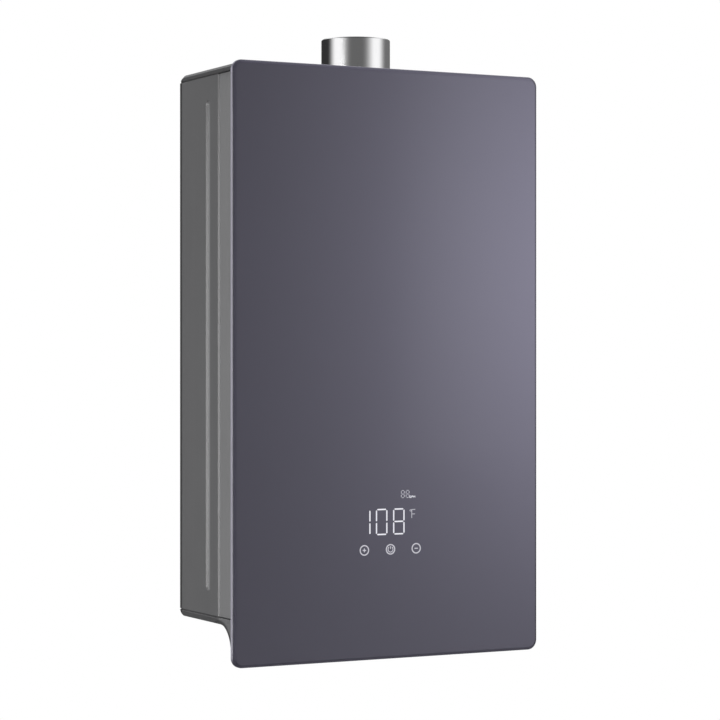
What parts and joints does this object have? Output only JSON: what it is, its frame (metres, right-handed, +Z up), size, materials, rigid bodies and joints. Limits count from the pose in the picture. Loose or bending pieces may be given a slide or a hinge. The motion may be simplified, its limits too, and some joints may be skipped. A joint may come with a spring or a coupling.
{
  "type": "tankless water heater",
  "caption": "Wall-hung gas tankless water heater: glass front hanging below a sheet casing, round flue collar on top, pipe connections under a curved skirt, working fan and valves inside.",
  "frame": {"origin": "centre of the four wall screw holes, on the wall plane", "axes": "+Y into the wall, -Y out of the glass front, +Z up along the casing"},
  "size_m": [0.372, 0.143, 0.6752],
  "materials": {
    "casing_paint": "fine satin powder coat, mid grey",
    "frame_paint": "fine satin powder coat, light grey",
    "cap_paint": "fine satin powder coat, mid grey",
    "front_glass": "back-painted tempered glass, polished edge",
    "zinc_steel": "galvanised",
    "screw_steel": "zinc plated",
    "stainless": "bright rolled stainless",
    "fan_alloy": "as cast or as pressed",
    "motor_black": "black lacquer",
    "copper": "drawn copper",
    "fitting_brass": "machined brass",
    "black_plastic": "fine textured",
    "pale_plastic": "fine textured",
    "ceramic": "glazed",
    "circuit_board": "solder resist",
    "foam_rubber": "closed cell"
  },
  "bodies": {
    "heater": {"rear_casing": "casing_paint", "wall_pads": "zinc_steel", "front_frame": "frame_paint", "frame_seal": "foam_rubber", "glass_panel": "front_glass", "glass_bond": "foam_rubber", "top_cap": "cap_paint", "bottom_cap": "cap_paint", "top_deck": "zinc_steel", "base_deck": "zinc_steel", "cap_screws": "screw_steel", "flue_collar": "stainless", "collar_gasket": "foam_rubber", "collar_screws": "screw_steel", "flap_pin": "screw_steel", "fan_volute": "fan_alloy", "fan_plate": "fan_alloy", "fan_motor": "motor_black", "exhaust_hood": "stainless", "pressure_switch": "pale_plastic", "exchanger_shell": "copper", "exchanger_fins": "copper", "exchanger_tubes": "copper", "overheat_stat": "black_plastic", "burner_box": "stainless", "burner_tiles": "stainless", "injector_rail": "fan_alloy", "injector_nozzles": "fitting_brass", "electrodes": "ceramic", "stack_bracket": "zinc_steel", "gas_inlet": "fitting_brass", "gas_valve": "fan_alloy", "shutoff_coil": "motor_black", "stage_coil": "motor_black", "modulating_coil": "motor_black", "gas_feed": "fitting_brass", "cold_inlet": "fitting_brass", "inlet_filter": "screw_steel", "flow_sensor": "black_plastic", "turbine_axle": "screw_steel", "cold_pipe": "copper", "hot_pipe": "copper", "hot_outlet": "fitting_brass", "outlet_thermistor": "pale_plastic", "control_housing": "black_plastic", "control_board": "circuit_board", "spark_igniter": "black_plastic", "display_board": "circuit_board", "display_light": "pale_plastic", "touch_pads": "foam_rubber", "cable_gland": "black_plastic"},
    "flap": {"backdraft_flap": "fan_alloy"},
    "fan": {"motor_shaft": "screw_steel", "fan_wheel": "fan_alloy"},
    "shutoff": {"shutoff_plunger": "screw_steel"},
    "stage": {"stage_plunger": "screw_steel"},
    "modulator": {"modulating_plunger": "screw_steel"},
    "turbine": {"flow_turbine": "pale_plastic"},
    "drain_washer": {"drain_seal": "foam_rubber"},
    "drain": {"drain_plug": "black_plastic"}
  },
  "joints": [
    {"name": "flap_swing", "type": "hinge", "parent": "heater", "child": "flap", "pos_m": [0, -0.0525, 0.286], "axis": [-1, 0, 0], "range_deg": [0, 75]},
    {"name": "fan_spin", "type": "hinge", "parent": "heater", "child": "fan", "pos_m": [0.018, -0.0625, 0.205], "axis": [0, 1, 0], "continuous": true},
    {"name": "shutoff_lift", "type": "slide", "parent": "heater", "child": "shutoff", "axis": [0, 0, 1], "range_m": [0, 0.003], "stiffness_N_per_m": 200, "springref_m": -0.008},
    {"name": "stage_lift", "type": "slide", "parent": "heater", "child": "stage", "axis": [0, 0, 1], "range_m": [0, 0.003], "stiffness_N_per_m": 200, "springref_m": -0.008},
    {"name": "modulator_lift", "type": "slide", "parent": "heater", "child": "modulator", "axis": [1, 0, 0], "range_m": [0, 0.003], "stiffness_N_per_m": 200, "springref_m": -0.008},
    {"name": "turbine_spin", "type": "hinge", "parent": "heater", "child": "turbine", "pos_m": [0.13, -0.0625, -0.233], "axis": [0, 0, 1], "continuous": true},
    {"name": "drain_lower", "type": "slide", "parent": "heater", "child": "drain_washer", "axis": [0, 0, -1], "range_m": [0, 0.0061]},
    {"name": "drain_turn", "type": "hinge", "parent": "drain_washer", "child": "drain", "pos_m": [0.165, -0.0625, -0.29], "axis": [0, 0, -1], "range_deg": [0, 1440]}
  ],
  "couplings": [
    {"joint": "drain_lower", "follows": "drain_turn", "m_per_rad": 0.00023873}
  ]
}
